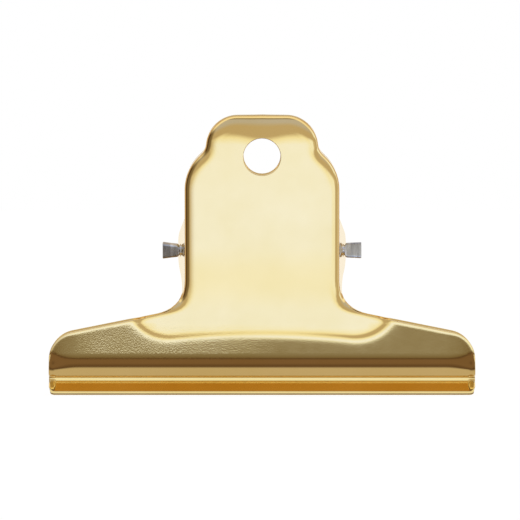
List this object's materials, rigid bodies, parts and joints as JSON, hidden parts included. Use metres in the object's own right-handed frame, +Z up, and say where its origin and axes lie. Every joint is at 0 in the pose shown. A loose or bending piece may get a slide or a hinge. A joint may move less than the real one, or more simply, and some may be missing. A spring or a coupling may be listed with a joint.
{
  "type": "bulldog clip",
  "caption": "Sprung sheet-metal paper clip: hinged plates with wide flared jaws and rolled-rim handles, a hanging hole, a staked hinge pin and a torsion spring.",
  "frame": {"origin": "middle of the lip edges, on the surface that the clip stands on", "axes": "+X along the jaw and the hinge pin, +Y from the front plate to the rear plate, +Z up the handles"},
  "size_m": [0.085, 0.0254, 0.0558],
  "materials": {
    "gold_sheet": "polished",
    "pin_steel": "satin",
    "spring_steel": "satin"
  },
  "bodies": {
    "rear_jaw": {"rear_plate": "gold_sheet", "torsion_spring": "spring_steel"},
    "front_jaw": {"front_plate": "gold_sheet"},
    "pin": {"hinge_pin": "pin_steel"}
  },
  "joints": [
    {"name": "jaw_hinge", "type": "hinge", "parent": "rear_jaw", "child": "front_jaw", "pos_m": [0, 0, 0.0288], "axis": [-1, 0, 0], "range_deg": [0, 42], "stiffness_Nm_per_rad": 0.25, "springref_deg": -45.84, "deforming": ["torsion_spring"]},
    {"name": "pin_turn", "type": "hinge", "parent": "rear_jaw", "child": "pin", "pos_m": [0, 0, 0.0288], "axis": [1, 0, 0], "continuous": true}
  ]
}
